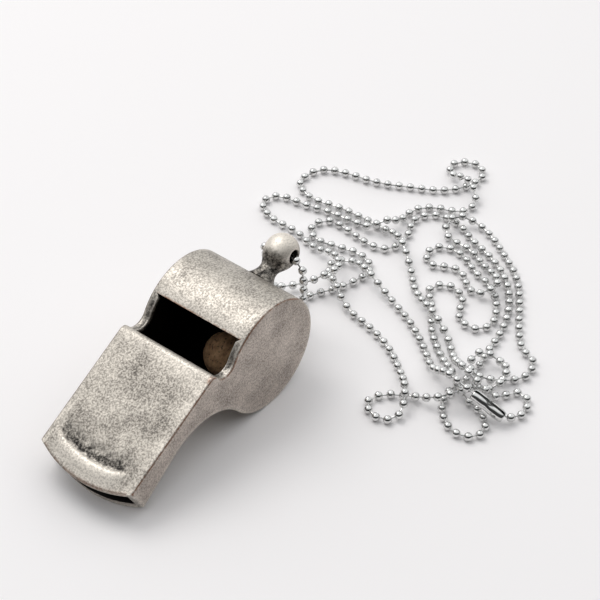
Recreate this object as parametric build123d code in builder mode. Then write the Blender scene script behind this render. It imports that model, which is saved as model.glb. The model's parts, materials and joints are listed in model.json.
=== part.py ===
"""Sports whistle of plated sheet metal with a cork pea, on a ball chain with its connector.

Millimetres, +Z up.  The whistle lies as on a table, on its barrel and on the lower edge of its tip.
+X runs from the mouthpiece to the lanyard knob, and -Y is the right cheek.  The whistle is drawn in
its own axes: u from the barrel's axis towards the tip, v square to the top plate.
"""
import math
import os

from build123d import *

os.makedirs("parts", exist_ok=True)

# Body
body_width = 20.0
barrel_radius = 10.75
cheek_wall = 0.95
cheek_edge_round = 0.35
band_wall = 0.8
plate_wall = 0.9
plate_rise = 1.45
mouth_height = 6.1
mouth_reach = 33.2
tip_bulge = 2.5
throat_radius = 11.5
sole_slope = 8.0
trim_overrun = 5.0

# Window between the lip and the top plate
lip_reach = 2.2
lip_bevel = 1.1
window_reach = 9.6
roll_radius = 1.2
roll_drop = 1.5

# Bite ridge at the tip
ridge_width = 3.3
ridge_height = 0.4
ridge_side_gap = 1.2
ridge_front_gap = 0.4
ridge_bevel = 0.3

# Windway floor
floor_wall = 0.6
exit_gap = 1.1

# Lanyard knob
knob_reach = 17.0
knob_radius = 3.05
knob_neck_radius = 1.65
knob_neck_reach = 12.9
knob_foot_radius = 2.6
knob_hole_radius = 1.2
knob_hole_round = 0.3
solder_gap = 0.02

# Pea
pea_radius = 4.1
pea_clearance = 0.2

# Ball chain
bead_radius = 0.75
bead_pitch = 2.15
pin_radius = 0.16
pin_sides = 3
corner_share = 0.45

# Chain routes, chosen by hand on the photograph, measured from the foot of the barrel
long_route = [
    (15, -1, 18.2), (15, -4.5, 18.2), (15, -5, 14.5), (16, -4, 10.5), (18.5, -2.5, 6.5), (21.5, -0.5, 3),
    (25, 1, 0.8), (29.5, -2, 0.8), (36.5, -4, 0.8), (39, 0.5, 0.8), (37.5, 6, 0.8), (36.5, 10, 0.8),
    (39, 13, 0.8), (43, 11.5, 0.8), (42.5, 6.5, 0.8), (41.5, 1, 0.8), (43, -3, 0.8), (48.5, -3, 0.8),
    (52.5, -0.5, 0.8), (56.5, -3, 0.8), (57, -8, 0.8), (54.5, -12.5, 0.8), (53, -18, 0.8), (50, -23.5, 0.8),
    (45, -28, 0.8), (38.5, -31, 0.8), (32, -32, 0.8), (26, -33.5, 0.8), (20, -32, 0.8), (15.5, -34, 0.8),
    (12.5, -38.5, 0.8), (14, -42.5, 0.8), (17.5, -42.5, 0.8), (20, -39, 0.8), (20.5, -35.5, 0.8),
    (22, -32, 3.6), (26, -26.5, 0.8), (30.5, -21, 0.8), (36.5, -17, 0.8), (38.5, -14, 0.8), (42.5, -16, 0.8),
    (41, -21, 0.8), (36, -22.5, 0.8), (35, -27, 0.8), (38.5, -29, 0.8), (43, -26.5, 0.8), (46.5, -23, 0.8),
    (47.5, -18.5, 0.8), (50.5, -13.5, 0.8), (50, -9, 0.8), (46, -8, 0.8), (44, -11.5, 0.8), (46.5, -14, 0.8),
    (46, -17, 0.8), (43.5, -19.5, 0.8), (43, -22, 0.8), (44, -24.5, 2.8), (47.5, -24, 2.4), (50, -18.5, 0.8),
    (52.5, -14, 0.8), (52, -9.5, 0.8), (53.5, -7, 1.2), (56.5, -7.5, 3.3), (59, -10.5, 1), (58, -14.5, 0.8),
    (55, -19.5, 0.8), (51.5, -25, 0.8), (46.5, -29, 0.8), (41, -32.5, 0.8), (36.5, -36, 0.8), (35.5, -40, 0.8),
    (31, -41, 0.8), (27.5, -37.5, 0.8), (24.5, -35, 2.7), (26, -32, 2.7), (30, -32, 3.4), (31.5, -35.5, 1.2),
    (28.5, -39, 3.4), (25, -38.5, 1), (23, -35.5, 1.8), (20, -36, 4), (16, -33, 2.8), (15.5, -28.5, 0.8),
    (13, -24, 0.8), (9, -22.5, 0.8), (7, -27, 0.8), (10, -30, 0.8), (14.5, -27.5, 3.3), (18.5, -23.5, 0.8),
    (22.5, -18, 0.8), (24.5, -12, 0.8), (25.5, -6, 0.8), (28, -1.5, 3.3), (30.5, 2, 0.8), (34, 4, 0.8),
    (36.5, 0.5, 1), (34, -4, 3.4), (32.5, -10.5, 0.8), (30, -17, 0.8), (26, -23, 0.8), (22.5, -27, 1),
    (20.5, -31, 4.8), (19, -35, 6), (19.5, -38.5, 4),
]
short_route = [
    (15, 1, 18.2), (15, 4.5, 18.2), (14, 5, 14.5), (15, 5.5, 10), (17.5, 6, 6), (20.5, 6.5, 2.5), (23.5, 6, 0.8),
    (25, 2.5, 2.5), (27.5, -1, 5.4), (31, -0.5, 4), (34, 3, 3.2), (34.5, 8.5, 0.8), (36.5, 14, 0.8),
    (36, 20, 0.8), (38.5, 24.5, 0.8), (42.5, 23.5, 0.8), (43, 18, 0.8), (44.5, 12.5, 0.8), (45, 7, 0.8),
    (45, 3.5, 1.5), (47, 1.5, 3.4), (50.5, 0.5, 1), (55, 1, 0.8), (58, -2, 0.8), (59.5, -7, 0.8), (64, -7.5, 0.8),
    (66.5, -3.5, 3.3), (67, 1.5, 0.8), (70.5, 3.5, 0.8), (73.5, 0, 0.8), (71.5, -4, 0.8), (67, -3.5, 0.8),
    (62.5, -0.5, 0.8), (59.5, 5.5, 0.8), (56.5, 11, 0.8), (55.5, 17, 0.8), (53.5, 22, 0.8), (47.5, 23, 0.8),
    (45, 18, 0.8), (46.5, 13, 0.8), (47, 7, 0.8), (47, 1, 0.8), (45, -3.5, 3.3), (41, -9, 0.8),
    (36.5, -13, 0.8), (32.5, -20, 3.3), (31, -24.5, 0.8), (27, -28.5, 0.8), (23.5, -32.5, 4.8), (22.5, -36, 4.4),
    (23.5, -40, 0.8), (27.5, -41, 0.8), (27.5, -44, 0.8), (24.5, -45.5, 0.8), (21.5, -45, 1), (20, -43, 2),
]

# Chain connector
connector_top = (19.4, -37.6, 4.4)
connector_bottom = (20.2, -43.9, 1.6)
connector_end_trim = 0.15
connector_bore_radius = 0.92
connector_wall = 0.18
connector_shoulder = 0.4
connector_end_hole_radius = 0.62
connector_slot_width = 0.5
connector_eye_radius = 0.85

# Own axes of the whistle as it lies
crown_v = barrel_radius + plate_rise
sole_v = crown_v - mouth_height
tip_u = mouth_reach + tip_bulge
tilt = math.atan2(sole_v, tip_u) + math.asin(barrel_radius / math.hypot(tip_u, sole_v))
front_reach = tip_u * math.cos(tilt) + crown_v * math.sin(tilt)
rear_reach = knob_reach * math.cos(tilt) + knob_radius
barrel_x = (front_reach - rear_reach) / 2
barrel_centre = (barrel_x, 0, barrel_radius)
u_direction = (-math.cos(tilt), 0, -math.sin(tilt))
v_direction = (-math.sin(tilt), 0, math.cos(tilt))
side_plane = Plane(origin=barrel_centre, x_dir=u_direction, z_dir=(0, 1, 0))
plan_plane = Plane(origin=barrel_centre, x_dir=u_direction, z_dir=v_direction)
inner_width = body_width - 2 * cheek_wall
chamber_radius = barrel_radius - band_wall
trim_reach = barrel_radius + crown_v

# Throat: a reverse curve that touches the barrel and the sole
slope = math.radians(sole_slope)
sole_back = Vector(-math.cos(slope), math.sin(slope))
sole_down = Vector(-math.sin(slope), -math.cos(slope))
sole_tip = Vector(tip_u, sole_v)
throat_start = sole_tip + sole_down * throat_radius
along_sole = throat_start.dot(sole_back)
centre_reach = barrel_radius + throat_radius
sole_length = -along_sole - math.sqrt(along_sole**2 - throat_start.dot(throat_start) + centre_reach**2)
throat_centre = throat_start + sole_back * sole_length
throat_angle = math.degrees(math.atan2(throat_centre.Y, throat_centre.X))
sole_angle = math.degrees(math.atan2(-sole_down.Y, -sole_down.X))
throat_sweep = 180 + throat_angle - sole_angle

# Window edge of the cheeks: a dip that touches the barrel, then the roll of the plate
dip_end_v = crown_v - roll_radius
dip_radius = (window_reach**2 + dip_end_v**2 - barrel_radius**2) / (2 * (barrel_radius + window_reach))
dip_turn = math.asin((window_reach - dip_radius) / (barrel_radius + dip_radius))
dip_angle = 90 - math.degrees(dip_turn)
dip_centre = (window_reach - dip_radius, dip_end_v)
lip_angle = math.degrees(math.acos(lip_reach / barrel_radius))
lip_bevel_angle = math.degrees(lip_bevel / barrel_radius)


def hull_run(inset, end_angle):
    """Sole, throat and barrel as one tangent run, moved inwards by inset, up to end_angle on the barrel."""
    sole_front = sole_tip - sole_down * inset
    Line(sole_front, sole_front + sole_back * sole_length)
    CenterArc(throat_centre, throat_radius + inset, sole_angle, throat_sweep)
    barrel = CenterArc((0, 0), barrel_radius - inset, throat_angle, end_angle - 360 - throat_angle)
    return sole_front, barrel @ 1


# Shared plan of the tip's curved front
nose_back_u = -knob_reach - trim_overrun
with BuildSketch(plan_plane) as nose_plan:
    with BuildLine():
        ThreePointArc((mouth_reach, -body_width / 2), (tip_u, 0), (mouth_reach, body_width / 2))
        Polyline(
            (mouth_reach, body_width / 2),
            (nose_back_u, body_width / 2),
            (nose_back_u, -body_width / 2),
            (mouth_reach, -body_width / 2),
        )
    make_face()

# Shared outline of a cheek
with BuildSketch(side_plane) as cheek_outline:
    with BuildLine():
        cheek_front = hull_run(0, dip_angle)[0]
        CenterArc(dip_centre, dip_radius, dip_angle + 180, 180 - dip_angle)
        CenterArc((window_reach + roll_radius, dip_end_v), roll_radius, 180, -90)
        Polyline((window_reach + roll_radius, crown_v), (tip_u, crown_v), cheek_front)
    make_face()

with BuildPart() as left_cheek:
    extrude(cheek_outline.sketch.moved(Location((0, inner_width / 2, 0))), amount=cheek_wall)
    extrude(nose_plan.sketch, amount=trim_reach, both=True, mode=Mode.INTERSECT)
    fillet(left_cheek.faces().sort_by(Axis.Y)[-1].edges(), radius=cheek_edge_round)
left_cheek.part.label = "left_cheek"
export_step(left_cheek.part, "parts/left_cheek.step")

with BuildPart() as right_cheek:
    extrude(cheek_outline.sketch.moved(Location((0, -inner_width / 2, 0))), amount=-cheek_wall)
    extrude(nose_plan.sketch, amount=trim_reach, both=True, mode=Mode.INTERSECT)
    fillet(right_cheek.faces().sort_by(Axis.Y)[0].edges(), radius=cheek_edge_round)
right_cheek.part.label = "right_cheek"
export_step(right_cheek.part, "parts/right_cheek.step")

with BuildPart() as drum_band:
    with BuildSketch(side_plane):
        with BuildLine():
            outer_front, outer_lip = hull_run(0, lip_angle)
            inner_front, inner_lip = hull_run(band_wall, lip_angle + lip_bevel_angle)
            Line(outer_front, inner_front)
            Line(outer_lip, inner_lip)
        make_face()
    extrude(amount=inner_width / 2, both=True)
    extrude(nose_plan.sketch, amount=trim_reach, both=True, mode=Mode.INTERSECT)
drum_band.part.label = "drum_band"
export_step(drum_band.part, "parts/drum_band.step")

with BuildPart() as mouthpiece_top:
    with BuildSketch(side_plane):
        with BuildLine():
            roll_u = window_reach + roll_radius
            plate_front_u = tip_u + trim_overrun
            Polyline((roll_u, crown_v), (plate_front_u, crown_v), (plate_front_u, crown_v - plate_wall),
                     (roll_u, crown_v - plate_wall))
            CenterArc((roll_u, dip_end_v), roll_radius - plate_wall, 90, 90)
            Polyline((window_reach + plate_wall, dip_end_v), (window_reach + plate_wall, crown_v - roll_drop),
                     (window_reach, crown_v - roll_drop), (window_reach, dip_end_v))
            CenterArc((roll_u, dip_end_v), roll_radius, 180, -90)
        make_face()
    extrude(amount=inner_width / 2, both=True)
    with BuildSketch(plan_plane.offset(crown_v)):
        with BuildLine():
            ridge_side = inner_width / 2 - ridge_side_gap
            ridge_middle = tip_u - ridge_front_gap
            ridge_corner = mouth_reach - ridge_front_gap
            half_width = body_width / 2
            ThreePointArc((ridge_corner, -half_width), (ridge_middle, 0), (ridge_corner, half_width))
            ThreePointArc((ridge_corner - ridge_width, -half_width), (ridge_middle - ridge_width, 0),
                          (ridge_corner - ridge_width, half_width))
            Line((ridge_corner, -half_width), (ridge_corner - ridge_width, -half_width))
            Line((ridge_corner, half_width), (ridge_corner - ridge_width, half_width))
        make_face()
        Rectangle(2 * tip_u, 2 * ridge_side, mode=Mode.INTERSECT)
    extrude(amount=ridge_height)
    extrude(nose_plan.sketch, amount=trim_reach, both=True, mode=Mode.INTERSECT)
    ridge_top = mouthpiece_top.faces().sort_by(Axis(barrel_centre, v_direction))[-1]
    chamfer(ridge_top.edges(), length=ridge_bevel)
mouthpiece_top.part.label = "mouthpiece_top"
export_step(mouthpiece_top.part, "parts/mouthpiece_top.step")

with BuildPart() as windway_floor:
    with BuildSketch(side_plane):
        with BuildLine():
            wall_u = chamber_radius + pea_clearance
            exit_v = crown_v - roll_drop - exit_gap
            floor_front = sole_tip - sole_down * (band_wall + floor_wall)
            under_front = sole_tip - sole_down * band_wall
            bend = sole_back * sole_length
            Polyline(floor_front, floor_front + bend, (wall_u, exit_v), (wall_u, -barrel_radius),
                     (wall_u + floor_wall, -barrel_radius), (wall_u + floor_wall, exit_v - floor_wall),
                     under_front + bend, under_front, close=True)
        make_face()
        with BuildLine(mode=Mode.PRIVATE) as chamber_line:
            chamber_front, chamber_lip = hull_run(band_wall, lip_angle)
            Polyline(chamber_lip, (tip_u, crown_v), chamber_front)
        add(make_face(chamber_line.edges(), mode=Mode.PRIVATE), mode=Mode.INTERSECT)
    extrude(amount=inner_width / 2, both=True)
    extrude(nose_plan.sketch, amount=trim_reach, both=True, mode=Mode.INTERSECT)
windway_floor.part.label = "windway_floor"
export_step(windway_floor.part, "parts/windway_floor.step")

knob_centre = Vector(barrel_centre) - Vector(u_direction) * knob_reach


def is_hole_mouth(edge):
    """True for an edge whose middle lies on the wall of the knob's cross hole."""
    from_axis = (edge @ 0.5 - knob_centre).cross(Vector(0, 1, 0)).length
    return abs(from_axis - knob_hole_radius) < solder_gap


with BuildPart() as lanyard_knob:
    with BuildSketch(side_plane):
        with BuildLine():
            foot_u = -barrel_radius
            ball_start = (-knob_reach - knob_radius, 0)
            ball_side = (-knob_reach, knob_radius)
            ThreePointArc(ball_start, (-knob_reach - knob_radius * math.cos(math.radians(45)),
                                       knob_radius * math.sin(math.radians(45))), ball_side)
            Spline(ball_side, (-knob_neck_reach, knob_neck_radius), (foot_u, knob_foot_radius),
                   tangents=((1, 0), (1, 1)))
            Polyline((foot_u, knob_foot_radius), (0, knob_foot_radius), (0, 0), ball_start)
        make_face()
    revolve(axis=Axis(barrel_centre, u_direction))
    with Locations(Location(side_plane)):
        Cylinder(barrel_radius + solder_gap, body_width, mode=Mode.SUBTRACT)
    with Locations(Location(side_plane) * Location((-knob_reach, 0, 0))):
        Cylinder(knob_hole_radius, body_width, mode=Mode.SUBTRACT)
    hole_mouths = lanyard_knob.edges().filter_by(GeomType.LINE, reverse=True).filter_by(is_hole_mouth)
    fillet(hole_mouths, radius=knob_hole_round)
lanyard_knob.part.label = "lanyard_knob"
export_step(lanyard_knob.part, "parts/lanyard_knob.step")

with BuildPart() as cork_pea:
    pea_orbit = chamber_radius - pea_radius - pea_clearance
    with Locations((barrel_x, 0, barrel_radius - pea_orbit)):
        Sphere(pea_radius)
cork_pea.part.label = "cork_pea"
export_step(cork_pea.part, "parts/cork_pea.step")

# Heights of the corners of a twenty-sided bead that stands on one face, as shares of its radius
face_share = math.sqrt((5 + 2 * math.sqrt(5)) / 15)
belt_share = math.sqrt((5 - 2 * math.sqrt(5)) / 15)


def route_wire(name, points):
    """Straight runs joined by tangent arcs through the points, moved to the foot of the barrel."""
    places = [Vector(x + barrel_x, y, z) for x, y, z in points]
    radii = []
    for before, corner, after in zip(places, places[1:], places[2:]):
        turn = math.radians((corner - before).get_angle(after - corner))
        shorter = min((corner - before).length, (after - corner).length)
        radii.append(corner_share * shorter / math.tan(turn / 2))
    print(name, "least radius", round(min(radii), 2))
    with BuildLine() as line:
        FilletPolyline(*places, radius=radii)
    return line.wires()[0]


def bead_places(wire):
    """Evenly spaced bead centres along a route, each turned so that its flats face its neighbours."""
    steps = round(wire.length / bead_pitch)
    return [Location(Plane(origin=wire @ (i / steps), z_dir=wire % (i / steps))) for i in range(steps + 1)]


def bead_points():
    """Corners of a twenty-sided bead with two opposite faces square to the chain."""
    corners = []
    for height_share, start in ((face_share, 0), (belt_share, 60), (-belt_share, 0), (-face_share, 60)):
        ring_radius = bead_radius * math.sqrt(1 - height_share**2)
        for angle in (start, start + 120, start + 240):
            turn = math.radians(angle)
            corners.append((ring_radius * math.cos(turn), ring_radius * math.sin(turn),
                            bead_radius * height_share))
    return corners


def pin_start(bead, along):
    """Distance from a bead's centre at which a pin along a direction meets the bead's flat."""
    cosine = min(1, abs(Plane(bead).z_dir.dot(along)))
    return (bead_radius * face_share + pin_radius * math.sqrt(1 - cosine**2)) / cosine


def pin_between(start, end):
    """Corners of a slim three-sided pin from the flat of one bead to the flat of the next."""
    run = end.position - start.position
    along = run.normalized()
    pin_plane = Plane(origin=start.position, z_dir=along)
    turns = [math.radians(360 * side / pin_sides) for side in range(pin_sides)]
    rim = [(pin_radius * math.cos(turn), pin_radius * math.sin(turn)) for turn in turns]
    ends = (pin_start(start, along), run.length - pin_start(end, along))
    return [pin_plane.from_local_coords((x, y, z)) for z in ends for x, y in rim]


long_beads = bead_places(route_wire("long side", long_route))
short_beads = bead_places(route_wire("short side", short_route))
long_joins = list(zip([short_beads[0]] + long_beads, long_beads))
short_joins = list(zip(short_beads, short_beads[1:]))

with BuildPart() as chain_long_beads:
    with Locations(*long_beads):
        ConvexPolyhedron(bead_points())
chain_long_beads.part.label = "chain_long_beads"
export_step(chain_long_beads.part, "parts/chain_long_beads.step")

with BuildPart() as chain_short_beads:
    with Locations(*short_beads):
        ConvexPolyhedron(bead_points())
chain_short_beads.part.label = "chain_short_beads"
export_step(chain_short_beads.part, "parts/chain_short_beads.step")

with BuildPart() as chain_long_pins:
    add([ConvexPolyhedron(pin_between(*pair), mode=Mode.PRIVATE) for pair in long_joins])
chain_long_pins.part.label = "chain_long_pins"
export_step(chain_long_pins.part, "parts/chain_long_pins.step")

with BuildPart() as chain_short_pins:
    add([ConvexPolyhedron(pin_between(*pair), mode=Mode.PRIVATE) for pair in short_joins])
chain_short_pins.part.label = "chain_short_pins"
export_step(chain_short_pins.part, "parts/chain_short_pins.step")

connector_start = Vector(connector_top) + Vector(barrel_x, 0, 0)
connector_run = Vector(connector_bottom) - Vector(connector_top)
connector_axis = connector_run.normalized()
connector_length = connector_run.length - 2 * connector_end_trim
connector_foot = connector_start + connector_axis * connector_end_trim
slot_side = connector_axis.cross(Vector(0, 0, 1))
slot_up = slot_side.cross(connector_axis)

with BuildPart() as chain_connector:
    with BuildSketch(Plane(origin=connector_foot, x_dir=connector_axis, z_dir=slot_side)):
        with BuildLine():
            sleeve_radius = connector_bore_radius + connector_wall
            inner_end = connector_length - connector_wall
            Polyline((0, connector_end_hole_radius), (0, sleeve_radius - connector_shoulder),
                     (connector_shoulder, sleeve_radius), (connector_length - connector_shoulder, sleeve_radius),
                     (connector_length, sleeve_radius - connector_shoulder),
                     (connector_length, connector_end_hole_radius), (inner_end, connector_end_hole_radius),
                     (inner_end, sleeve_radius - connector_shoulder),
                     (connector_length - connector_shoulder, connector_bore_radius),
                     (connector_shoulder, connector_bore_radius),
                     (connector_wall, sleeve_radius - connector_shoulder),
                     (connector_wall, connector_end_hole_radius), close=True)
        make_face()
    revolve(axis=Axis(connector_foot, connector_axis))
    connector_middle = connector_foot + connector_axis * (connector_length / 2)
    with BuildSketch(Plane(origin=connector_middle, x_dir=connector_axis, z_dir=slot_up)):
        Rectangle(connector_length, connector_slot_width)
        Circle(connector_eye_radius)
    extrude(amount=2 * sleeve_radius, mode=Mode.SUBTRACT)
chain_connector.part.label = "chain_connector"
export_step(chain_connector.part, "parts/chain_connector.step")

print("beads", len(long_beads), len(short_beads))
print("barrel axis", round(barrel_x, 3), round(barrel_radius, 3), "tilt", round(math.degrees(tilt), 2))
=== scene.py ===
"""Looks of a plated sheet-metal pea whistle on its ball chain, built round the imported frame.

Sizes are in millimetres, and every mesh is put into metres as it is made.  The whistle is drawn in its
own axes: u from the barrel's axis towards the tip, v square to the top plate, y across the body.
"""
import json
import math

import bmesh
import bpy
import numpy as np
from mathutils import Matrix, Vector


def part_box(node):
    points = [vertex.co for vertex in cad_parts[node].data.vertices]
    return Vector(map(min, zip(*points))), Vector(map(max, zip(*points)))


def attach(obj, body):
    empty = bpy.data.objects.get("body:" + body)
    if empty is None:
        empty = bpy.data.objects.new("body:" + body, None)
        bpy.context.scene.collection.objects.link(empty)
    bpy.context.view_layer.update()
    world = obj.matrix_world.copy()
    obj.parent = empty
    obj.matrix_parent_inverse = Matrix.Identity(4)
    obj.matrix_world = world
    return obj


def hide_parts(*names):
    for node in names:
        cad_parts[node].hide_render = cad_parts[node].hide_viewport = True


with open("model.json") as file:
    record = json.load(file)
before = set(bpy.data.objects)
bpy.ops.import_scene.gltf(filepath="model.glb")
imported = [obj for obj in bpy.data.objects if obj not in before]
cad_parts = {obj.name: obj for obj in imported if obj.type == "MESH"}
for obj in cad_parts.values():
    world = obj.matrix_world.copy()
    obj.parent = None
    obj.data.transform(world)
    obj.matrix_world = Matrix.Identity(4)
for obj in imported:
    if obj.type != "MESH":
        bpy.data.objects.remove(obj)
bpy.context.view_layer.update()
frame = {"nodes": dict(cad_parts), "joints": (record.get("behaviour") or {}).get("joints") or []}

MM = 0.001

# Places taken from the frame
pea_joint = next(joint for joint in frame["joints"] if joint["name"] == "pea_roll")
barrel_x = pea_joint["pos_m"][0] / MM
barrel_radius = pea_joint["pos_m"][2] / MM
body_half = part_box("left_cheek")[1].y / MM
inner_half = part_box("left_cheek")[0].y / MM

# Sheet-metal body
band_wall = 0.8
plate_wall = 0.9
plate_rise = 1.45
mouth_height = 6.1
mouth_reach = 33.2
tip_bulge = 2.5
throat_radius = 11.5
sole_slope = 8.0
lip_reach = 2.2
lip_bevel = 1.1
window_reach = 9.6
roll_radius = 1.2
roll_drop = 1.5
nose_round = 0.3
cheek_round = 0.35
flat_inset = 0.6
cap_inset = 0.05

# Rough rims, turned in at both ends of the window
rim_width = 0.65
rim_depth = 1.0
rim_bevel = 0.12
rim_growth = 0.6
rim_fade = 0.1

# Bite ridge and the hollow behind it
ridge_height = 0.4
ridge_rise = 3.0
ridge_back = 4.4
ridge_fall = 1.2
ridge_end = 8.6
ridge_end_fade = 3.6
ridge_shift = 0.8
hollow_depth = 0.18
hollow_reach = 5.2
hollow_spread = 1.3

# Cork pea
pea_radius = 4.1
pea_seed = 7
pit_depth = 0.12
pit_waves = 26
pit_slowest = 3
pit_fastest = 14
pit_edge = 0.35

# Ball chain
bead_radius = 0.8
bead_pitch = 2.15
bead_mouth = 0.24
pin_radius = 0.16
pin_start = 0.62
steep_limit = 0.9

# Clasp
clasp_top = (19.4, -37.6, 4.4)
clasp_bottom = (20.2, -43.9, 1.6)
clasp_end_trim = 0.15
clasp_wall = 0.18
clasp_end_radius = 0.8
clasp_end_power = 5
clasp_swell = 0.34
clasp_waist = 0.1
clasp_waist_spread = 0.5
clasp_slot = 0.25
clasp_eye = 0.32

# Steps of the meshes
sole_steps = 27
throat_steps = 40
barrel_steps = 150
dip_steps = 40
crown_steps = 40
front_steps = 8
round_steps = 6
cheek_roll_steps = 12
plate_roll_steps = 20
skirt_steps = 4
fold_steps = 8
under_steps = 12
band_columns = 61
plate_rows = 190
plate_columns = 101
pea_rows = 65
pea_columns = 97
bead_rows = 6
bead_sides = 9
pin_sides = 6
clasp_rows = 49
clasp_columns = 61
route_order = 3
route_steps = 16

# Angles in degrees from which an edge stays sharp, and the distance within which points are merged
sheet_sharp = 40
cheek_sharp = 30
knob_sharp = 30
cork_sharp = 60
bead_sharp = 60
merge_distance = 0.0005

# Chain routes, chosen on the photograph, measured from the foot of the barrel
long_route = [
    (15, -1, 18.2), (15, -4.4, 18.2), (15, -4.8, 14.5), (15, -4.8, 10.5), (15.2, -4.2, 6), (16.8, -2.8, 2),
    (19.5, -0.5, 0.8), (23, 1.6, 0.8), (25.5, 0.6, 0.8), (29.5, -2, 0.8), (36.5, -4, 0.8), (39, 0.5, 0.8),
    (37.5, 6, 0.8), (36.5, 10, 0.8), (39, 13, 0.8), (43, 11.5, 0.8), (42.5, 6.5, 0.8), (41.5, 1, 0.8),
    (43, -3, 0.8), (48.5, -3, 0.8), (52.5, -0.5, 0.8), (56.5, -3, 0.8), (57, -8, 0.8), (54.5, -12.5, 0.8),
    (53, -18, 0.8), (50, -23.5, 0.8), (45, -28, 0.8), (38.5, -31, 0.8), (32, -32, 0.8), (26, -33.5, 0.8),
    (20, -32, 0.8), (15.5, -34, 0.8), (12.5, -38.5, 0.8), (14, -42.5, 0.8), (17.5, -42.5, 0.8),
    (20, -39, 0.8), (20.5, -35.5, 0.8), (22, -32, 3.6), (26, -26.5, 0.8), (30.5, -21, 0.8),
    (36.5, -17, 0.8), (38.5, -14, 0.8), (42.5, -16, 0.8), (41, -21, 0.8), (36, -22.5, 0.8),
    (35, -27, 0.8), (38.5, -29, 0.8), (43, -26.5, 0.8), (46.5, -23, 0.8), (47.5, -18.5, 0.8),
    (50.5, -13.5, 0.8), (50, -9, 0.8), (46, -8, 0.8), (44, -11.5, 0.8),
    (46.5, -14, 0.8), (46, -17, 0.8), (43.5, -19.5, 0.8), (43, -22, 0.8), (44, -24.5, 2.8), (47.5, -24, 2.4),
    (50, -18.5, 0.8), (52.5, -14, 0.8), (52, -9.5, 0.8), (53.5, -7, 1.2), (56.5, -7.5, 3.3), (59, -10.5, 1),
    (58, -14.5, 0.8), (55, -19.5, 0.8), (51.5, -25, 0.8), (46.5, -29, 0.8), (41, -32.5, 0.8),
    (36.5, -36, 0.8), (35.5, -40, 0.8), (31, -41, 0.8), (27.5, -37.5, 0.8), (24.5, -35, 2.7),
    (26, -32, 2.7), (30, -32, 3.4), (31.5, -35.5, 1.2), (28.5, -39, 3.4), (25, -38.5, 1),
    (23, -35.5, 1.8), (20, -36, 4), (16, -33, 2.8),
    (15.5, -28.5, 0.8), (13, -24, 0.8), (9, -22.5, 0.8), (7, -27, 0.8), (10, -30, 0.8), (14.5, -27.5, 3.3),
    (18.5, -23.5, 0.8), (22.5, -18, 0.8), (24.5, -12, 0.8), (25.5, -6, 0.8), (28, -1.5, 3.3), (30.5, 2, 0.8),
    (34, 4, 0.8), (36.5, 0.5, 1), (34, -4, 3.4), (32.5, -10.5, 0.8), (30, -17, 0.8), (26, -23, 0.8),
    (22.5, -27, 1), (20.5, -31, 4.8), (19, -35, 6), (19.5, -38.5, 4),
]
short_route = [
    (15, 1, 18.2), (15.4, 4.3, 18.1), (16.4, 4.6, 14.5), (16.6, 5, 10), (18, 5.8, 6), (20.5, 6.5, 2.5),
    (23.5, 6, 0.8), (25, 2.5, 2.5), (27.5, -1, 5.4), (31, -0.5, 4), (34, 3, 3.2), (34.5, 8.5, 0.8),
    (36.5, 14, 0.8), (36, 20, 0.8), (38.5, 24.5, 0.8), (42.5, 23.5, 0.8), (43, 18, 0.8), (44.5, 12.5, 0.8),
    (45, 7, 0.8), (45, 3.5, 1.5), (47, 1.5, 3.4), (50.5, 0.5, 1), (55, 1, 0.8), (58, -2, 0.8),
    (59.5, -7, 0.8), (64, -7.5, 0.8), (66.5, -3.5, 3.3), (67, 1.5, 0.8), (70.5, 3.5, 0.8), (73.5, 0, 0.8),
    (71.5, -4, 0.8), (67, -3.5, 0.8), (62.5, -0.5, 0.8), (59.5, 5.5, 0.8), (56.5, 11, 0.8), (55.5, 17, 0.8),
    (53.5, 22, 0.8), (47.5, 23, 0.8), (45, 18, 0.8), (46.5, 13, 0.8), (47, 7, 0.8), (47, 1, 0.8),
    (45, -3.5, 3.3), (41, -9, 0.8), (36.5, -13, 0.8), (32.5, -20, 3.3), (31, -24.5, 0.8), (27, -28.5, 0.8),
    (23.5, -32.5, 4.8), (22.5, -36, 4.4), (23.5, -40, 0.8), (27.5, -41, 0.8), (27.5, -44, 0.8),
    (24.5, -45.5, 0.8), (21.5, -45, 1), (20, -43, 2),
]

# Wear of the band, with its spread in rows from the lip
lip_wear = 0.9
lip_rub = 0.3
lip_rub_rows = 5
crown_rub = 0.5
crown_rub_rows = 34
sole_edge_rub = 0.7

# Wear of the cheeks and a painted highlight on their lower edge; each rim mark is a share of the way across
# the edge, a stain and a rub
rim_marks = ((0.08, 0, 0.9), (0.2, 0.15, 0.3), (0.5, 0.3, 0.1), (0.8, 0.1, 0.3), (0.93, 0, 0.9), (1, 0, 0.5))
rim_front_rub = 0.8
upper_slopes = (0.1, 0.5)
upper_rub = 0.4
# Painted highlight on the lower rounded edge
lower_edge_highlight = 0.55
corner_wear_middle = 0.55
corner_wear_fall = 3
far_cheek_wear = 0.3
copper_spot_spread = 0.8

# Wear of the top plate, and a painted highlight along its rolled rear edge
nose_wear = 0.35
ridge_stain = 0.7
stain_reach = 4.5
stain_front = 0.5
stain_tail = 1.3
ridge_rub_start = 1.0
# Painted highlight along the rolled rear edge
roll_highlight = 0.6
roll_highlight_spread = 1.7
side_rub = 0.4
side_rub_width = 1.4

# Marks of the knob, by the distance out along its axis and up from it: patina in the neck, darker
# underneath, painted shade in the hole and a painted highlight on the top of the ball
hole_out = 17.0
hole_edge = (1.15, 1.3)
neck_out = (13.6, 16.2)
neck_stain = 0.4
under_up = (-2.2, 0.6)
under_darkening = 0.42
ball_out = (14.6, 16.4)
ball_up = (-1.6, 1.4)
ball_highlight = 1.4

# Painted shade inside the mouth, by the depth behind the nose
mouth_shade_full = 0.14
mouth_shade_start = 0.06

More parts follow.
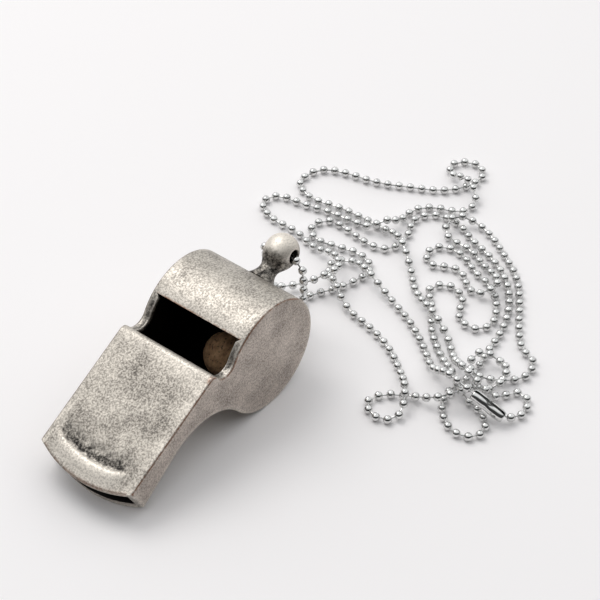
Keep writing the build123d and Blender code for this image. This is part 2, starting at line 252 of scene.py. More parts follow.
# Plating: its tones, and for each effect the scale of its noise, where the noise is cut, and its share
plate_light = (0.64, 0.595, 0.53, 1)
plate_dark = (0.12, 0.107, 0.095, 1)
# Cheek tones: the plating made lighter for the sides, as painted light on the cheeks
cheek_light_brightened = (0.70, 0.625, 0.56, 1)
cheek_dark_brightened = (0.25, 0.215, 0.19, 1)
# Tone of rubbed places, also of the painted highlights on the plate's roll, the cheeks' lower edges and the
# knob's top
rub_and_highlight_tone = (0.80, 0.745, 0.67, 1)
scratch_tone = (0.76, 0.73, 0.68, 1)
# Tarnish, also the painted shade of the inner faces, of the mouth behind the nose and of the knob's hole
tarnish_and_shade_tone = (0.008, 0.007, 0.007, 1)
copper_tone = (0.27, 0.115, 0.055, 1)
speckle_scale = 2900.0
speckle_cut = (0.41, 0.59)
speckle_share = 0.6
speckle_relief = 0.5
blotch_scale = 240.0
blotch_cut = (0.34, 0.66)
blotch_share = 0.4
scratch_turns = ((0.3, 0.4, 0.5), (0.2, -0.5, -0.6), (-0.4, 0.3, 1.4))
scratch_stretch = (700, 4600, 4600)
scratch_cut = (0.69, 0.76)
scratch_share = 0.6
scratch_relief = 0.4
rub_least = 0.5
wear_scale = 900.0
wear_cut = (0.28, 0.5)
stain_boost = 1.5
patch_scale = 1000.0
patch_cut = (0.4, 0.5, 0.6)
patch_limit = 0.65
patch_gain = 3.6
plate_roughness = (0.58, 0.4)
plate_metallic = 0.85
plate_bump = 0.6
plate_relief = 0.03
inside_relief = 0.02

# Cork
cork_light = (0.80, 0.50, 0.27, 1)
cork_dark = (0.38, 0.2, 0.1, 1)
cork_pore = (0.03, 0.015, 0.01, 1)
cork_turn = (0.5, 0.7, 0.2)
cork_stretch = (260, 1100, 1100)
cork_streak_cut = (0.34, 0.68)
cork_pore_scale = 1900.0
cork_pore_cut = (0.6, 0.7)
cork_pore_share = 0.8
cork_relief = 0.12
cork_bump = 0.7
cork_roughness = 0.85

# Polished steel
steel_light = (0.76, 0.76, 0.75, 1)
steel_dark = (0.58, 0.58, 0.575, 1)
smear_scale = 700.0
smear_tone_cut = (0.35, 0.65)
smear_gloss_cut = (0.3, 0.7)
steel_roughness = (0.13, 0.06)

# Camera: turned round the aim point, measured from the foot of the barrel
camera_azimuth = -51.2
camera_elevation = 42.8
camera_distance = 400.0
camera_aim = (22.9, 2.3, 0.0)
camera_lens = 134.3
sensor_width = 36.0

# Clip distances of the camera, in metres
near_clip = 0.01
far_clip = 50

# Floor and light, with lengths in metres
floor_reach = 8.0
floor_level = -0.00003
floor_tone = (0.94, 0.922, 0.927, 1)
floor_roughness = 0.9
floor_specular = 0.1
sky_tone = (0.985, 0.995, 1.0, 1)
sky_way = (0.47, 0.38, 1.0)
horizon_top = 0.2
sky_top = 0.6
horizon_level = 0.05
sky_level = 0.96
lamp_way = (0.05, 0.5, 0.86)
lamp_distance = 0.6
lamp_size = 0.4
lamp_power = 1.1
lamp_tone = (1.0, 0.975, 0.95)

# Own axes of the whistle as it lies
crown_v = barrel_radius + plate_rise
sole_v = crown_v - mouth_height
tip_u = mouth_reach + tip_bulge
tilt = math.atan2(sole_v, tip_u) + math.asin(barrel_radius / math.hypot(tip_u, sole_v))
nose_radius = (body_half**2 + tip_bulge**2) / (2 * tip_bulge)

# Throat: a reverse curve that touches the barrel and the sole
slope = math.radians(sole_slope)
sole_back = np.array((-math.cos(slope), math.sin(slope)))
sole_down = np.array((-math.sin(slope), -math.cos(slope)))
sole_tip = np.array((tip_u, sole_v))
throat_start = sole_tip + sole_down * throat_radius
along_sole = throat_start @ sole_back
centre_reach = barrel_radius + throat_radius
sole_length = -along_sole - math.sqrt(along_sole**2 - throat_start @ throat_start + centre_reach**2)
throat_centre = throat_start + sole_back * sole_length
throat_angle = math.atan2(throat_centre[1], throat_centre[0])
sole_angle = math.atan2(-sole_down[1], -sole_down[0])

# Window edge of the cheeks: a dip that touches the barrel, then the roll of the plate
dip_end_v = crown_v - roll_radius
dip_radius = (window_reach**2 + dip_end_v**2 - barrel_radius**2) / (2 * (barrel_radius + window_reach))
dip_angle = math.pi / 2 - math.asin((window_reach - dip_radius) / (barrel_radius + dip_radius))
lip_angle = math.acos(lip_reach / barrel_radius)
roll_u = window_reach + roll_radius


def own(u, v, y):
    """Points in metres: u and v turned down by the tilt about the barrel's axis, y kept."""
    x = barrel_x - u * math.cos(tilt) - v * math.sin(tilt)
    z = barrel_radius - u * math.sin(tilt) + v * math.cos(tilt)
    return np.stack(np.broadcast_arrays(x, y, z), axis=-1) * MM


def nose(y):
    """Reach of the tip's curved front: a circle of the nose radius that bulges by tip_bulge in the middle."""
    return tip_u - nose_radius + np.sqrt(nose_radius**2 - y**2)


def smooth_step(low, high, value):
    """Rises from 0 at low to 1 at high along 3t squared minus 2t cubed."""
    t = np.clip((value - low) / (high - low), 0, 1)
    return t * t * (3 - 2 * t)


def quarter_drop(distance, radius):
    """Depth of a quarter-round edge: radius minus the circle's height, at a distance inside the edge."""
    t = 1 - np.clip(distance / radius, 0, 1)
    return radius * (1 - np.sqrt(1 - t**2))


def arc(centre, radius, start, end, count):
    """Points of a circle from start to end, both angles in radians."""
    turn = np.linspace(start, end, count)
    return np.stack((centre[0] + radius * np.cos(turn), centre[1] + radius * np.sin(turn)), axis=1)


def line(start, end, count):
    """Evenly spaced points of a straight run."""
    share = np.linspace(0, 1, count)[:, None]
    return np.asarray(start) * (1 - share) + np.asarray(end) * share


def hull_run(inset, end_angle):
    """Sole, throat and barrel as one tangent run, moved inwards by inset, up to end_angle on the barrel."""
    front = sole_tip - sole_down * inset
    sole = line(front, front + sole_back * sole_length, sole_steps + 1)[:-1]
    throat = arc(throat_centre, throat_radius + inset, sole_angle, throat_angle + math.pi, throat_steps)[:-1]
    barrel = arc((0, 0), barrel_radius - inset, throat_angle, end_angle - 2 * math.pi, barrel_steps)
    return np.concatenate((sole, throat, barrel))


def grid_quads(rows, columns, closed=True):
    """Four-sided faces of a grid numbered row by row, with its last row joined to the first if closed."""
    row = np.arange(rows if closed else rows - 1)[:, None]
    column = np.arange(columns - 1)[None, :]
    ahead = (row + 1) % rows
    corners = (row * columns + column, row * columns + column + 1, ahead * columns + column + 1,
               ahead * columns + column)
    return list(np.stack(corners, axis=-1).reshape(-1, 4))


def side_quads(rows, columns):
    """Faces along both sides of a folded sheet, from each outer row to the inner row behind it."""
    near = np.arange(rows // 2 - 1)
    wall = np.stack((near, near + 1, rows - 2 - near, rows - 1 - near), axis=1) * columns
    return list(wall) + list(wall + columns - 1)


def end_caps(rows, columns):
    """One face over the first column of a closed grid and one over its last."""
    first = np.arange(rows) * columns
    return [first, first + columns - 1]


def set_mark(mesh, name, values):
    """Point mark: one value for each point of a mesh."""
    layer = mesh.attributes.new(name, "FLOAT", "POINT")
    layer.data.foreach_set("value", values.ravel().astype(np.float32))


def make_piece(name, points, faces, body, material, replaced, sharp_angle, marks=None):
    """Mesh object at the origin from whole arrays, with outward faces, smooth shading and point marks."""
    mesh = bpy.data.meshes.new(name)
    mesh.from_pydata(points.reshape(-1, 3).tolist(), [], [list(face) for face in faces])
    for label, values in (marks or {}).items():
        set_mark(mesh, label, values)
    return dress(name, mesh, body, material, replaced, sharp_angle)


def dress(name, mesh, body, material, replaced, sharp_angle):
    """Merges and turns a mesh's faces outwards, shades it smooth up to an angle and rides it on its body."""
    work = bmesh.new()
    work.from_mesh(mesh)
    bmesh.ops.remove_doubles(work, verts=work.verts, dist=merge_distance * MM)
    bmesh.ops.recalc_face_normals(work, faces=work.faces)
    work.to_mesh(mesh)
    work.free()
    mesh.shade_smooth()
    mesh.set_sharp_from_angle(angle=math.radians(sharp_angle))
    mesh.materials.clear()
    mesh.materials.append(material)
    piece = bpy.data.objects.new(name, mesh)
    bpy.context.scene.collection.objects.link(piece)
    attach(piece, body)
    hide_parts(*replaced)
    return piece


def set_socket(tree, socket, value):
    """Links a socket to another one, or sets it to a value."""
    if isinstance(value, bpy.types.NodeSocket):
        tree.links.new(value, socket)
    else:
        socket.default_value = value


def add_node(tree, kind, inputs=None, **settings):
    """Node of a kind, with its settings, and each input linked to a socket or set to a value."""
    node = tree.nodes.new(kind)
    for key, value in settings.items():
        setattr(node, key, value)
    for key, value in (inputs or {}).items():
        set_socket(tree, node.inputs[key], value)
    return node


def noise(tree, vector, scale, detail=3.0, rough=0.5):
    """Value of a noise texture with features of about one over scale metres."""
    inputs = {"Vector": vector, "Scale": scale, "Detail": detail, "Roughness": rough}
    return add_node(tree, "ShaderNodeTexNoise", inputs).outputs["Fac"]


def remap(tree, value, low, high, to_low=0.0, to_high=1.0):
    """Value stretched from low..high to to_low..to_high, held at both ends."""
    inputs = {"Value": value, "From Min": low, "From Max": high, "To Min": to_low, "To Max": to_high}
    return add_node(tree, "ShaderNodeMapRange", inputs).outputs["Result"]


def math_node(tree, operation, first, second):
    """Result of one operation on two values, held between 0 and 1."""
    inputs = {0: first, 1: second}
    return add_node(tree, "ShaderNodeMath", inputs, operation=operation, use_clamp=True).outputs[0]


def mix_colour(tree, share, first, second):
    """Two colours mixed by a share; 0, 6 and 7 are the node's sockets for the share and the colours."""
    node = add_node(tree, "ShaderNodeMix", data_type="RGBA")
    for index, value in ((0, share), (6, first), (7, second)):
        set_socket(tree, node.inputs[index], value)
    return node.outputs[2]


def object_place(tree):
    """Coordinates of a piece's own mesh."""
    return add_node(tree, "ShaderNodeTexCoord").outputs["Object"]


def stretched_place(tree, place, turn, stretch):
    """Coordinates turned, then scaled by the stretch along each axis."""
    inputs = {"Vector": place, "Rotation": turn, "Scale": stretch}
    return add_node(tree, "ShaderNodeMapping", inputs).outputs[0]


def scratch_mask(tree, place):
    """Thin scratches: noise stretched long in a few directions, of which the strongest shows."""
    mask = 0.0
    for turn in scratch_turns:
        turned = stretched_place(tree, place, turn, scratch_stretch)
        streak = remap(tree, noise(tree, turned, 1.0, detail=2.0), *scratch_cut)
        mask = math_node(tree, "MAXIMUM", mask, streak)
    return mask


def stain_and_shade_mask(tree, place, amount, speckle):
    """Tarnish, and painted shade on the inner faces: the amount, raised in the speckle's dark grains.  A
    light stain is deepened in some patches and cleared in others, by the amount times what it falls short of
    a limit."""
    stain_and_shade = math_node(tree, "MULTIPLY", amount, remap(tree, speckle, 0.0, 1.0, stain_boost, 1.0))
    light = math_node(tree, "MULTIPLY", amount, math_node(tree, "SUBTRACT", patch_limit, amount))
    patchy = noise(tree, place, patch_scale)
    low, middle, high = patch_cut
    deeper = math_node(tree, "MULTIPLY", light, remap(tree, patchy, middle, high, 0.0, patch_gain))
    cleaner = math_node(tree, "MULTIPLY", light, remap(tree, patchy, low, middle, patch_gain, 0.0))
    return math_node(tree, "SUBTRACT", math_node(tree, "ADD", stain_and_shade, deeper), cleaner)


def aged_plate_group():
    """Shader group of rubbed antique plating: blotches, speckle and scratches, with stains and worn edges,
    and painted shade and highlights.

    Speckle and blotches choose between the dark and the light tone, scratches lie over both, the rubbing
    input brightens handled places and paints highlights, the staining input darkens towards old tarnish and
    paints shade on the inner faces, and Edge shows the copper below.
    """
    tree = bpy.data.node_groups.new("aged_plate", "ShaderNodeTree")
    for flow, kind, names in (("INPUT", "NodeSocketColor", ("Light", "Dark")),
                              ("INPUT", "NodeSocketFloat", ("Stain_and_shade", "Edge", "Rub_and_highlight")),
                              ("OUTPUT", "NodeSocketColor", ("Color",)),
                              ("OUTPUT", "NodeSocketFloat", ("Roughness", "Height"))):
        for name in names:
            tree.interface.new_socket(name, in_out=flow, socket_type=kind)
    given = tree.nodes.new("NodeGroupInput").outputs
    result = tree.nodes.new("NodeGroupOutput").inputs
    place = object_place(tree)
    speckle = remap(tree, noise(tree, place, speckle_scale, detail=4.0, rough=0.7), *speckle_cut)
    blotch = remap(tree, noise(tree, place, blotch_scale, detail=4.0, rough=0.6), *blotch_cut)
    tone = math_node(tree, "ADD", math_node(tree, "MULTIPLY", speckle, speckle_share),
                     math_node(tree, "MULTIPLY", blotch, blotch_share))
    colour = mix_colour(tree, tone, given["Dark"], given["Light"])
    scratch = scratch_mask(tree, place)
    colour = mix_colour(tree, math_node(tree, "MULTIPLY", scratch, scratch_share), colour, scratch_tone)
    # Handled wear and painted highlights both brighten through this input
    brightening = math_node(tree, "MULTIPLY", given["Rub_and_highlight"], remap(tree, speckle, 0.0, 1.0, rub_least, 1.0))
    colour = mix_colour(tree, brightening, colour, rub_and_highlight_tone)
    # Tarnish, and painted shade on the inner faces
    colour = mix_colour(tree, stain_and_shade_mask(tree, place, given["Stain_and_shade"], speckle), colour, tarnish_and_shade_tone)
    worn = math_node(tree, "MULTIPLY", given["Edge"], remap(tree, noise(tree, place, wear_scale), *wear_cut))
    colour = mix_colour(tree, worn, colour, copper_tone)
    height = math_node(tree, "ADD", math_node(tree, "MULTIPLY", speckle, speckle_relief),
                       math_node(tree, "MULTIPLY", scratch, scratch_relief))
    tree.links.new(colour, result["Color"])
    tree.links.new(remap(tree, tone, 0.0, 1.0, *plate_roughness), result["Roughness"])
    tree.links.new(height, result["Height"])
    return tree


def new_material(name):
    """Empty node material with its tree and its shader."""
    material = bpy.data.materials.new(name)
    material.use_nodes = True
    tree = material.node_tree
    return material, tree, tree.nodes["Principled BSDF"]


def point_mark(tree, name):
    """Value of a point mark that a piece carries."""
    return add_node(tree, "ShaderNodeAttribute", attribute_name=name).outputs["Fac"]


def behind_nose(tree):
    """Painted shade that begins just behind the tip: by the distance from the axis of the nose's circle."""
    middle = own(tip_u - nose_radius, 0.0, 0.0)
    upright = (-math.sin(tilt), 0.0, math.cos(tilt))
    kind = "ShaderNodeVectorMath"
    moved = add_node(tree, kind, {0: object_place(tree), 1: middle}, operation="SUBTRACT").outputs[0]
    along = add_node(tree, kind, {0: moved, 1: upright}, operation="PROJECT").outputs[0]
    apart = add_node(tree, kind, {0: moved, 1: along}, operation="DISTANCE").outputs["Value"]
    full = (nose_radius - mouth_shade_full) * MM
    start = (nose_radius - mouth_shade_start) * MM
    return remap(tree, apart, full, start, 1.0, 0.0)


def plate_material(name, plating, relief, inside_shade_rule=None):
    """Antique plating with relief in millimetres.  Its point marks choose the flank's tone (painted light on
    the cheeks), the stains and painted shade, the worn edges, and the rubbed places and painted highlights,
    or one rule paints shade on it."""
    material, tree, shader = new_material(name)
    group = add_node(tree, "ShaderNodeGroup", node_tree=plating)
    if inside_shade_rule is None:
        flank = point_mark(tree, "flank")
        # The flank mark moves the cheeks onto the lighter cheek tones: painted light on the sides
        tree.links.new(mix_colour(tree, flank, plate_light, cheek_light_brightened), group.inputs["Light"])
        tree.links.new(mix_colour(tree, flank, plate_dark, cheek_dark_brightened), group.inputs["Dark"])
        for socket in ("Stain_and_shade", "Edge", "Rub_and_highlight"):
            tree.links.new(point_mark(tree, socket.lower()), group.inputs[socket])
    else:
        group.inputs["Light"].default_value = cheek_light_brightened
        group.inputs["Dark"].default_value = cheek_dark_brightened
        # The rule paints shade on this inside floor
        tree.links.new(inside_shade_rule(tree), group.inputs["Stain_and_shade"])
    grain = {"Height": group.outputs["Height"], "Distance": relief * MM, "Strength": plate_bump}
    bump = add_node(tree, "ShaderNodeBump", grain)
    tree.links.new(group.outputs["Color"], shader.inputs["Base Color"])
    tree.links.new(group.outputs["Roughness"], shader.inputs["Roughness"])
    tree.links.new(bump.outputs["Normal"], shader.inputs["Normal"])
    shader.inputs["Metallic"].default_value = plate_metallic
    return material


def cork_material():
    """Cork: tan and brown grain in streaks, with small dark pores."""
    material, tree, shader = new_material("cork_grain")
    place = object_place(tree)
    stretched = stretched_place(tree, place, cork_turn, cork_stretch)
    streak = remap(tree, noise(tree, stretched, 1.0, detail=4.0, rough=0.65), *cork_streak_cut)
    pores = remap(tree, noise(tree, place, cork_pore_scale, detail=2.0), *cork_pore_cut)
    colour = mix_colour(tree, streak, cork_dark, cork_light)
    colour = mix_colour(tree, math_node(tree, "MULTIPLY", pores, cork_pore_share), colour, cork_pore)
    height = math_node(tree, "SUBTRACT", streak, pores)
    grain = {"Height": height, "Distance": cork_relief * MM, "Strength": cork_bump}
    bump = add_node(tree, "ShaderNodeBump", grain)
    tree.links.new(colour, shader.inputs["Base Color"])
    tree.links.new(bump.outputs["Normal"], shader.inputs["Normal"])
    shader.inputs["Roughness"].default_value = cork_roughness
    return material


def steel_material():
    """Polished steel beads: bright, with faint smears in tone and gloss."""
    material, tree, shader = new_material("polished_steel")
    smear = noise(tree, object_place(tree), smear_scale)
    colour = mix_colour(tree, remap(tree, smear, *smear_tone_cut), steel_dark, steel_light)
    tree.links.new(colour, shader.inputs["Base Color"])
    tree.links.new(remap(tree, smear, *smear_gloss_cut, *steel_roughness), shader.inputs["Roughness"])
    shader.inputs["Metallic"].default_value = 1.0
    return material


def band_piece(material):
    """Band bent round the barrel: the hull run at two insets, carried across the body, with the front
    end of the sole brought back to the nose's curve.  Rub falls off from the lip as two bell curves."""
    y = np.linspace(-inner_half, inner_half, band_columns)
    layers = []
    for inset, end in ((0.0, lip_angle), (band_wall, lip_angle + lip_bevel / barrel_radius)):
        run = hull_run(inset, end)
        u = run[:, :1] + 0 * y
        v = run[:, 1:] + 0 * y
        cut = np.maximum(run[0, 0] - nose(y), 0) * (1 - np.arange(sole_steps) / sole_steps)[:, None]
        u[:sole_steps] -= cut
        v[:sole_steps] += cut * math.tan(slope)
        layers.append(own(u, v, y))
    loop = np.concatenate((layers[0], layers[1][::-1]))
    rows, columns = loop.shape[:2]
    half = rows // 2
    to_lip = np.arange(half, 0, -1)[:, None] - 1.0
    blank = np.zeros((half, columns))
    edge = np.concatenate((blank + np.where(to_lip < 1, lip_wear, 0), blank))
    near_lip = lip_rub * np.exp(-(to_lip / lip_rub_rows) ** 2)
    over_crown = crown_rub * np.exp(-(to_lip / crown_rub_rows) ** 2)
    rub_and_highlight = np.concatenate((blank + near_lip + over_crown, blank))
    rub_and_highlight[0] = sole_edge_rub
    rub_and_highlight[-1] = sole_edge_rub
    # Painted shade: the whole inner face is darkened, all but its last row
    stain_and_shade = np.concatenate((blank, blank + 1))
    stain_and_shade[-1] = 0
    faces = grid_quads(rows, columns) + side_quads(rows, columns)
    make_piece("barrel_band", loop, faces, "whistle", material, ("drum_band",), sheet_sharp,
               {"edge": edge, "stain_and_shade": stain_and_shade, "rub_and_highlight": rub_and_highlight})


def cheek_ring(count, inset, y, edge=0, stain_and_shade=0, rub_and_highlight=0, flank=0):
    """One ring of a cheek: at each point its inset into the face, its place across the body and its marks."""
    return np.stack([part + np.zeros(count) for part in (inset, y, edge, stain_and_shade, rub_and_highlight, flank)])


def cheek_outline():
    """Closed outline of a cheek: sole, throat, barrel, dip, roll, crown and front.  The way into the face
    at each point is the sum of both neighbouring edges' normals over one plus their product."""
    hull = hull_run(0, dip_angle)
    dip_centre = (window_reach - dip_radius, dip_end_v)
    dip = arc(dip_centre, dip_radius, dip_angle + math.pi, 2 * math.pi, dip_steps)[1:]
    roll = arc((roll_u, dip_end_v), roll_radius, math.pi, math.pi / 2, cheek_roll_steps)[1:]
    crown = line((roll_u, crown_v), (tip_u, crown_v), crown_steps)[1:]
    front = line((tip_u, crown_v), sole_tip, front_steps)[1:-1]
    outline = np.concatenate((hull, dip, roll, crown, front))
    ahead = np.roll(outline, -1, axis=0) - outline
    ahead /= np.linalg.norm(ahead, axis=1)[:, None]
    square = np.stack((ahead[:, 1], -ahead[:, 0]), axis=1)
    before = np.roll(square, 1, axis=0)
    return outline, (square + before) / (1 + np.sum(square * before, axis=1))[:, None]


def cheek_piece(name, side, node, material):
    """Flat cheek: its outline carried through rings from the inner face, across the edge and round to the
    outer face.  Along the window the edge is turned in by a rough rim, and the front end is held on the
    nose's curve.  Each ring is an inset into the face, a place across the body and its marks."""
    outline, inwards = cheek_outline()
    count = len(outline)
    reach, height = outline.T
    upper = smooth_step(*upper_slopes, -inwards[:, 1])
    open_edge = smooth_step(lip_reach, lip_reach + rim_growth, reach) * (height > 0)
    open_edge *= 1 - smooth_step(window_reach - rim_fade, window_reach, reach)
    turned = rim_width * open_edge
    strip = body_half - cheek_round - inner_half + turned
    spot_share, wear_share = (1.0, 1.0) if side < 0 else (0.0, far_cheek_wear)
    spot = spot_share * np.exp(-((reach - roll_u) / copper_spot_spread) ** 2) * (height > dip_end_v)
    front_y = inner_half - turned
    # Painted shade: the inner face is darkened fully, and the inside of the rim turned in at the window with
    # it
    rings = [cheek_ring(count, cap_inset + rim_depth * open_edge, inner_half, stain_and_shade=1),
             cheek_ring(count, rim_depth * open_edge, front_y, stain_and_shade=open_edge),
             cheek_ring(count, rim_bevel * open_edge, front_y, rub_and_highlight=rim_front_rub * open_edge)]
    for share, rim_stain, rim_rub in rim_marks:
        rim_y = front_y + strip * share
        brightened = rim_rub * open_edge + upper_rub * upper * (1 - open_edge)
        rings.append(cheek_ring(count, 0, rim_y, spot * share, rim_stain * open_edge, brightened))
    for step in range(1, round_steps + 1):
        share = step / round_steps
        turn = share * math.pi / 2
        worn = upper * max(0, 1 - abs(share - corner_wear_middle) * corner_wear_fall) * wear_share
        corner_inset = cheek_round * (1 - math.cos(turn))
        corner_y = body_half - cheek_round * (1 - math.sin(turn))
        # Painted highlight along the lower rounded edge
        brightened = lower_edge_highlight * (1 - upper)
        rings.append(cheek_ring(count, corner_inset, corner_y, worn, rub_and_highlight=brightened, flank=share))
    rings.append(cheek_ring(count, cheek_round + flat_inset, body_half, flank=1))
    inset, y, edge, stain_and_shade, rub_and_highlight, flank = np.stack(rings, axis=-1)
    u = outline[:, :1] + inwards[:, :1] * inset
    v = outline[:, 1:] + inwards[:, 1:] * inset
    held = np.minimum(u, nose(y) - inset)
    v = np.where(held < u, np.maximum(v, sole_v + (tip_u - held) * math.tan(slope) + inset), v)
    faces = grid_quads(count, len(rings)) + end_caps(count, len(rings))
    make_piece(name, own(held, v, side * y), faces, "whistle", material, (node,), cheek_sharp,
               {"edge": edge, "stain_and_shade": stain_and_shade, "rub_and_highlight": rub_and_highlight, "flank": flank})


def plate_piece(material):
    """Top plate: a closed section carried across the body, rolled over at the window.  Near the tip its
    height adds the bite ridge, a wedge that climbs from the front, steps down behind and fades at both
    ends, takes off the hollow behind it, and falls in a quarter round at the front."""
    y = np.linspace(-inner_half, inner_half, plate_columns)
    flat = 0 * y
    reach = nose(y)
    u_top = roll_u + np.linspace(0, 1, plate_rows)[:, None] * (reach - roll_u)
    behind = reach - u_top
    ends = 1 - smooth_step(ridge_end - ridge_end_fade, ridge_end, np.abs(y - ridge_shift))
    step = 1 - smooth_step(ridge_back - ridge_fall, ridge_back, behind)
    ridge = smooth_step(0, ridge_rise, behind) * step
    hollow = np.exp(-((behind - hollow_reach) / hollow_spread) ** 2)
    lift = ends * (ridge_height * ridge - hollow_depth * hollow)
    v_top = crown_v + lift - quarter_drop(behind, nose_round)
    skirt_v = crown_v - roll_drop
    roll = arc((roll_u, dip_end_v), roll_radius, math.pi, math.pi / 2, plate_roll_steps)[:-1]
    roll = np.concatenate((line((window_reach, skirt_v), roll[0], skirt_steps)[:-1], roll))
    fold = arc((roll_u, dip_end_v), roll_radius - plate_wall, math.pi / 2, math.pi, fold_steps)[1:]
    fold = np.concatenate((fold, [[window_reach + plate_wall, skirt_v]]))
    under = np.linspace(1, 0, under_steps)[:, None]
    u_under = roll_u + under * (reach - roll_u)
    v_under = crown_v - plate_wall + 0 * (under + y)
    u = np.concatenate((roll[:, :1] + flat, u_top, u_under, fold[:, :1] + flat))
    v = np.concatenate((roll[:, 1:] + flat, v_top, v_under, fold[:, 1:] + flat))
    rows, columns = u.shape
    top = slice(len(roll), len(roll) + plate_rows)
    edge, stain_and_shade, rub_and_highlight = np.zeros((3, rows, columns))
    edge[top] = nose_wear * np.exp(-((behind - nose_round / 2) / nose_round) ** 2)
    past = behind - stain_reach
    stain_and_shade[top] = ridge_stain * ends * np.exp(-(past / np.where(past < 0, stain_front, stain_tail)) ** 2)
    # Painted shade on the underside and the fold
    stain_and_shade[top.stop + 1:] = 1
    on_ridge = ends * step * smooth_step(0, ridge_rub_start, behind)
    # Painted highlight along the rolled rear edge, and over the roll's own rows
    by_roll = roll_highlight * np.exp(-((u_top - roll_u) / roll_highlight_spread) ** 2)
    by_side = side_rub * smooth_step(inner_half - side_rub_width, inner_half, np.abs(y))
    rub_and_highlight[:top.start] = roll_highlight
    rub_and_highlight[top] = np.maximum(np.maximum(on_ridge, by_roll), by_side)
    faces = grid_quads(rows, columns) + end_caps(rows, columns)
    make_piece("top_plate", own(u, v, y), faces, "whistle", material, ("mouthpiece_top",),
               sheet_sharp, {"edge": edge, "stain_and_shade": stain_and_shade, "rub_and_highlight": rub_and_highlight})


def knob_piece(material):
    """Knob: a merged copy of its node's mesh with smooth shading.  It is marked by the distance out along
    its axis and up from it: tarnish in the neck, darker underneath, painted shade in the hole, and a
    painted highlight on the top."""
    mesh = frame["nodes"]["lanyard_knob"].data.copy()
    dress("knob", mesh, "whistle", material, ("lanyard_knob",), knob_sharp)
    points = np.empty(len(mesh.vertices) * 3)
    mesh.vertices.foreach_get("co", points)
    points = points.reshape(-1, 3) / MM
    x = points[:, 0] - barrel_x
    z = points[:, 2] - barrel_radius
    out = x * math.cos(tilt) + z * math.sin(tilt)
    up = z * math.cos(tilt) - x * math.sin(tilt)
    neck = 1 - smooth_step(*neck_out, out)
    # Darker underneath
    under = 1 - smooth_step(*under_up, up)
    # Painted shade: the hole is darkened fully
    hole = 1 - smooth_step(*hole_edge, np.hypot(out - hole_out, up))
    set_mark(mesh, "stain_and_shade", np.maximum(np.maximum(neck_stain * neck, under_darkening * under), hole))
    # Painted highlight on the top of the ball
    set_mark(mesh, "rub_and_highlight", ball_highlight * smooth_step(*ball_up, up) * smooth_step(*ball_out, out))


def pea_piece(material):
    """Cork ball: a sphere whose radius dips by a sum of waves, each along a random direction."""
    draws = np.random.default_rng(pea_seed)
    polar = np.linspace(0, math.pi, pea_rows)[:, None]
    turn = np.linspace(0, 2 * math.pi, pea_columns)[None, :]
    way = np.stack(np.broadcast_arrays(np.sin(polar) * np.cos(turn), np.sin(polar) * np.sin(turn),
                                       np.cos(polar) + 0 * turn), axis=-1)
    speeds = np.linspace(pit_slowest, pit_fastest, pit_waves)[:, None]
    axes = draws.normal(size=(pit_waves, 3)) * speeds / math.sqrt(3)
    wave = np.cos(way @ axes.T + draws.uniform(0, 2 * math.pi, pit_waves)).mean(axis=-1)
    dip = pit_depth * smooth_step(-pit_edge, pit_edge, wave)
    low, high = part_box("cork_pea")
    centre = np.array((low + high) / 2)
    points = centre + way * (pea_radius - dip)[..., None] * MM
    faces = grid_quads(pea_rows, pea_columns, closed=False)
    make_piece("cork_ball", points, faces, "pea", material, ("cork_pea",), cork_sharp)


def route_points(name, route):
    """Points of a smooth open spline whose control points are the route's, read from its own mesh."""
    data = bpy.data.curves.new(name, "CURVE")
    data.dimensions = "3D"
    spline = data.splines.new("NURBS")
    spline.points.add(len(route) - 1)
    places = np.array(route) + (barrel_x, 0, 0)
    spline.points.foreach_set("co", np.column_stack((places * MM, np.ones(len(route)))).ravel())
    spline.order_u = route_order
    spline.use_endpoint_u = True
    spline.resolution_u = route_steps
    guide = bpy.data.objects.new(name, data)
    mesh = bpy.data.meshes.new_from_object(guide)
    points = np.empty(len(mesh.vertices) * 3)
    mesh.vertices.foreach_get("co", points)
    bpy.data.meshes.remove(mesh)
    bpy.data.objects.remove(guide)
    bpy.data.curves.remove(data)
    return points.reshape(-1, 3)


def bead_centres(path):
    """Bead centres at even steps of arc length along the path, each with its direction along the chain."""
    steps = np.linalg.norm(np.diff(path, axis=0), axis=1)
    run = np.concatenate(([0], np.cumsum(steps)))
    count = round(run[-1] / (bead_pitch * MM)) + 1
    at = np.linspace(0, run[-1], count)
    centres = np.stack([np.interp(at, run, path[:, axis]) for axis in range(3)], axis=1)
    ways = np.gradient(centres, axis=0)
    return centres, ways / np.linalg.norm(ways, axis=1)[:, None]


def cross_frames(ways):
    """Two directions square to each way and to each other, from the upright or, on steep runs, from X."""
    steep = np.abs(ways[:, 2:]) > steep_limit
    helper = np.where(steep, (1.0, 0.0, 0.0), (0.0, 0.0, 1.0))
    sides = np.cross(ways, helper)
    sides /= np.linalg.norm(sides, axis=1)[:, None]
    return sides, np.cross(ways, sides)


def turned_rows(bases, ways, radii, heights, sides):
    """Rings of a turned shape: circles of the radii at the heights along each way, round each base."""
    right, top = cross_frames(ways)
    turn = np.linspace(0, 2 * math.pi, sides, endpoint=False)
    ring = right[:, None, :] * np.cos(turn)[None, :, None] + top[:, None, :] * np.sin(turn)[None, :, None]
    along = heights[..., None, None] * ways[:, None, None, :]
    around = radii[..., None, None] * ring[:, None, :, :]
    return bases[:, None, None, :] + along + around


def turned_faces(shapes, rows, sides, first):
    """Faces of turned shapes: bands between rings, closed by one flat at each end."""
    column = np.arange(sides)
    row = np.arange(rows - 1)[:, None]
    ahead = (column + 1) % sides
    band = np.stack(np.broadcast_arrays(row * sides + column, row * sides + ahead, (row + 1) * sides + ahead,
                                        (row + 1) * sides + column), axis=-1).reshape(-1, 4)
    starts = first + np.arange(shapes)[:, None, None] * rows * sides
    faces = list((band + starts).reshape(-1, 4))
    for end in (0, (rows - 1) * sides):
        faces += list(column + end + starts[:, 0])
    return faces


